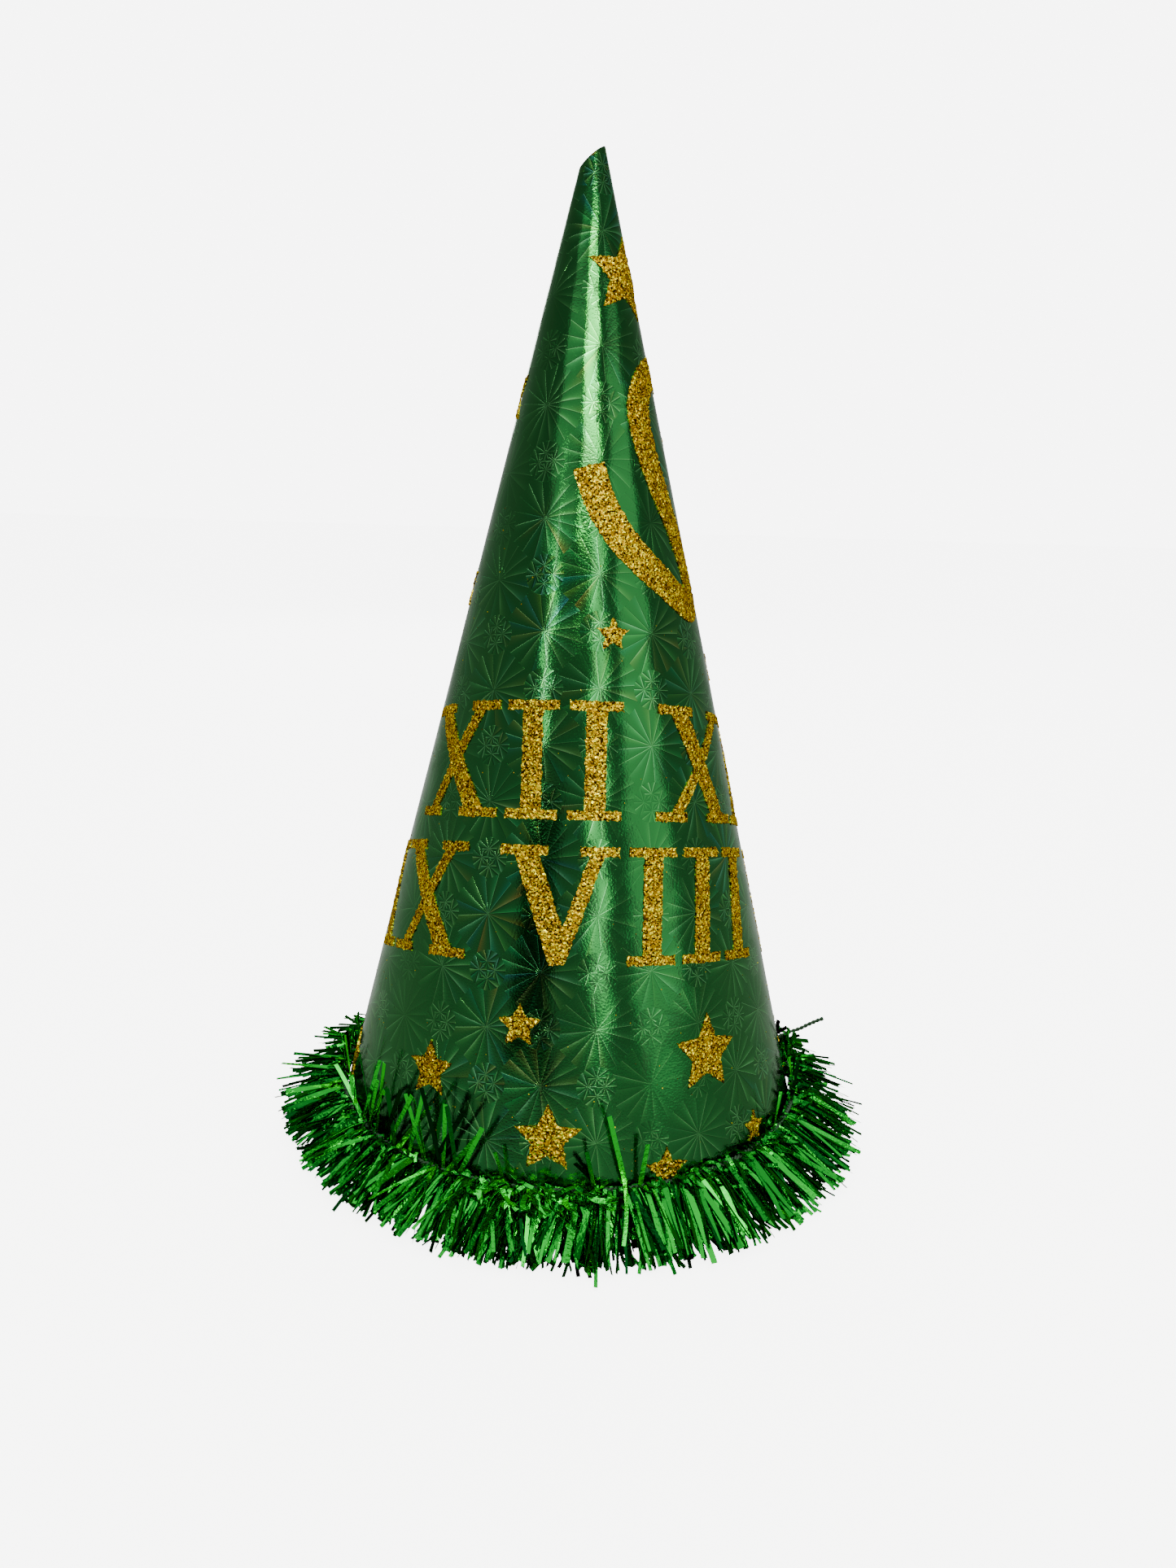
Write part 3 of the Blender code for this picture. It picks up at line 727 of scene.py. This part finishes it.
def strip(root, heading, start_slope, end_slope, lean, roll, twist, length, width):
    """A strip's middle line, its sideways line and its width. It soon bends from one slope to the other."""
    point = Vector(root)
    line = []
    sides = []
    walked = 0
    for part in range(STRIP_PARTS + 1):
        share = (part / STRIP_PARTS) ** 1.4
        step = share * length - walked
        walked += step
        up = end_slope + (start_slope - end_slope) * math.exp(-walked / BEND_LENGTH)
        turn = heading + lean * share
        along = Vector((math.sin(turn) * math.cos(up), -math.cos(turn) * math.cos(up), math.sin(up)))
        point = point + along * step
        radius = math.hypot(point.x, point.y)
        wall = RIM_RADIUS * (APEX_HEIGHT - point.z) / APEX_HEIGHT + CLEARANCE
        if radius < wall:
            point.x *= wall / radius
            point.y *= wall / radius
        point.z = max(point.z, CLEARANCE)
        line.append(point.copy())
        across = Vector((math.cos(turn), math.sin(turn), 0))
        angle = roll + twist * share
        sides.append(across * math.cos(angle) + along.cross(across) * math.sin(angle))
    return line, sides, width


def strips_piece(name, strips, tones_and_light):
    """One piece of many strips, each a thin closed ribbon with its own tone and painted light."""
    verts = []
    faces = []
    shades = []
    for (line, sides, width), tone_and_light in zip(strips, tones_and_light):
        start = len(verts)
        for index, (point, side) in enumerate(zip(line, sides)):
            ahead = (line[min(index + 1, len(line) - 1)] - line[max(index - 1, 0)]).normalized()
            side = (side - ahead * side.dot(ahead)).normalized()
            face = ahead.cross(side) * FILM / 2
            reach = side * width / 2
            verts += [point - reach - face, point + reach - face, point + reach + face, point - reach + face]
        shades += [tone_and_light] * 4 * len(line)
        for index in range(len(line) - 1):
            ring = start + 4 * index
            for corner in range(4):
                after = (corner + 1) % 4
                faces.append([ring + corner, ring + after, ring + 4 + after, ring + 4 + corner])
        faces.append([start + 3, start + 2, start + 1, start])
        last = start + 4 * (len(line) - 1)
        faces.append([last, last + 1, last + 2, last + 3])
    mesh = bpy.data.meshes.new(name)
    mesh.from_pydata(verts, [], faces)
    mesh.attributes.new("tone_and_light", "FLOAT", "POINT").data.foreach_set("value", shades)
    mesh.materials.append(tinsel)
    piece = bpy.data.objects.new(name, mesh)
    bpy.context.scene.collection.objects.link(piece)
    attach(piece, "root")
    return piece


SECTORS = 8
PER_SECTOR = 350
CURLS_PER_SECTOR = 150
MESSY_TURN = math.radians(-52)
FLAT_TURN = math.radians(-95)
CRUSHED_LEFT = math.radians(-132)
CRUSHED_RIGHT = math.radians(130)
for sector in range(SECTORS):
    rng = random.Random(100 + sector)
    strips = []
    turns = []
    for index in range(PER_SECTOR):
        turn = math.tau * (sector + (index + rng.random()) / PER_SECTOR) / SECTORS
        messy = max(0, math.cos(turn - MESSY_TURN)) ** 2
        flat = max(0, math.cos(turn - FLAT_TURN)) ** 3
        clump = noise.noise(Vector((math.sin(turn) * 6, math.cos(turn) * 6, 3)))
        comb = noise.noise(Vector((math.sin(turn) * 2.2, math.cos(turn) * 2.2, 9)))
        layer = rng.random()
        end_slope = math.radians(-25 + 10 * flat - 50 * layer**1.3 + rng.gauss(0, 5 + 4 * messy) + 7 * clump)
        facing = max(0, math.cos(turn))
        start_slope = math.radians(30 + 42 * facing - 75 * layer + rng.gauss(0, 14))
        heading = turn + math.radians(18 * comb + 12 * clump + rng.gauss(0, 8 + 11 * messy))
        lean = math.radians(rng.gauss(0, 7 + 8 * messy))
        roll = rng.gauss(0, 0.4 + 0.35 * messy)
        twist = rng.gauss(0, 0.4 + 0.5 * messy)
        length = STRIP_LENGTH * (1 + 0.06 * clump + rng.gauss(0, 0.05)) * (1 - 0.18 * messy)
        crushed = max(0, math.cos(turn - CRUSHED_LEFT)) ** 4
        crushed += 0.7 * max(0, math.cos(turn - CRUSHED_RIGHT)) ** 4
        length *= 1 - 0.34 * crushed - 0.07 * max(0, math.sin(turn))
        heading += math.copysign(0.75 * crushed, turn if turn < math.pi else turn - math.tau)
        width = STRIP_WIDTH * rng.choice((0.7, 0.9, 1.0, 1.0, 1.2, 1.6))
        root = on_ring(turn) * rng.uniform(0.975, 1)
        root.z = RING_HEIGHT + rng.uniform(-0.0014, 0.0004)
        strips.append(strip(root, heading, start_slope, end_slope, lean, roll, twist, length, width))
        turns.append(turn)
    for index in range(CURLS_PER_SECTOR):
        turn = math.tau * (sector + rng.random()) / SECTORS
        heading = turn + rng.gauss(0, 0.8)
        outward = rng.random()
        root = on_ring(turn) * (0.972 + 0.088 * outward)
        root.z = RING_HEIGHT + 0.0012 - 0.004 * outward + rng.uniform(-0.0015, 0.0008)
        start_slope = rng.uniform(-0.3, 1.4)
        length = STRIP_LENGTH * rng.uniform(0.12, 0.34)
        end_slope = rng.uniform(-1.5, 0.1)
        twist = rng.gauss(0, 1.6)
        strips.append(strip(root, heading, start_slope, end_slope, 1.2, 0, twist, length, STRIP_WIDTH))
        turns.append(turn)
    # Each strip's tone: random, painted brighter towards the front as lit, with six in a hundred painted as
    # bright glints and ten in a hundred near black.
    tones_and_light = []
    for turn in turns:
        tone_and_front_light = 0.08 + 0.44 * rng.random() + 0.34 * max(0, math.cos(turn)) ** 2
        tones_and_light.append(rng.choices((tone_and_front_light, 0.04, 1.0), (0.84, 0.10, 0.06))[0])
    piece = strips_piece(f"tinsel_skirt_{sector + 1}", strips, tones_and_light)
    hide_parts("tinsel_skirt")

# A few strips were crushed in packing: they stand up against the cone, mostly at the front left, and a
# knot of short curled ones sits at the very front. Each group is a count, its first and last turn in
# degrees, and its tallest share of a strip. Each upright is its turn, its tilt in degrees and its share.
rng = random.Random(50)
strips = []
tones_and_light = []
# Most strays are painted with the bright glint tone at the top of the ramp, the rest dark or mid green.
STRAY_GROUPS = ((18, -66, -24, 1.0), (20, -104, -76, 0.5), (10, -180, 180, 0.5), (30, 72, 112, 0.5))
for count, first, last, tallest in STRAY_GROUPS:
    for index in range(count):
        turn = math.radians(rng.uniform(first, last))
        tilt = rng.gauss(0, 0.45)
        heading = turn + math.copysign(math.pi / 2, tilt) + rng.gauss(0, 0.25)
        slope = math.pi / 2 - min(abs(tilt), 1.3)
        length = STRIP_LENGTH * tallest * rng.uniform(0.45, 1.0)
        facing = math.pi / 2 + rng.gauss(0, 0.35)
        end_slope = slope - abs(rng.gauss(0, 0.15))
        width = STRIP_WIDTH * rng.uniform(1.0, 1.5)
        twist = rng.gauss(0, 0.45)
        strips.append(strip(on_ring(turn), heading, slope, end_slope, 0.2, facing, twist, length, width))
        tones_and_light.append(rng.choice((0.0, 0.3, 0.8, 1.0, 1.0, 1.0)))
# The knot's short strips are painted bright, as painted highlights on crumpled film.
for index in range(90):
    turn = math.radians(rng.uniform(-20, 10))
    heading = turn + rng.uniform(-1.4, 1.4)
    length = STRIP_LENGTH * rng.uniform(0.15, 0.4)
    root = on_ring(turn) * rng.uniform(1.0, 1.08)
    root.z = RING_HEIGHT + rng.uniform(-0.003, 0.003)
    start_slope = rng.uniform(-0.5, 0.7)
    end_slope = rng.uniform(-1.1, 0.2)
    width = STRIP_WIDTH * rng.uniform(1.0, 1.5)
    strips.append(strip(root, heading, start_slope, end_slope, 1.2, 0, rng.gauss(0, 1.2), length, width))
    tones_and_light.append(rng.uniform(0.8, 1))
UPRIGHTS = (
    (-62, -22, 0.9),
    (-54, 34, 0.8),
    (-50, 12, 1.0),
    (-45, 30, 0.9),
    (-38, 16, 0.9),
    (-33, -20, 0.8),
    (-28, 2, 0.8),
    (-24, 24, 0.7),
    (13, -14, 0.9),
    (16, 8, 0.5),
)
# The uprights are all painted with the bright glint tone.
for turn, tilt, tallest in UPRIGHTS:
    turn = math.radians(turn)
    heading = turn + math.copysign(math.pi / 2, tilt)
    slope = math.radians(90 - abs(tilt))
    length = STRIP_LENGTH * tallest
    strips.append(strip(on_ring(turn), heading, slope, slope, 0, 1.4, 0.3, length, STRIP_WIDTH * 1.3))
    tones_and_light.append(1.0)
piece = strips_piece("tinsel_strays", strips, tones_and_light)
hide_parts("tinsel_tufts")
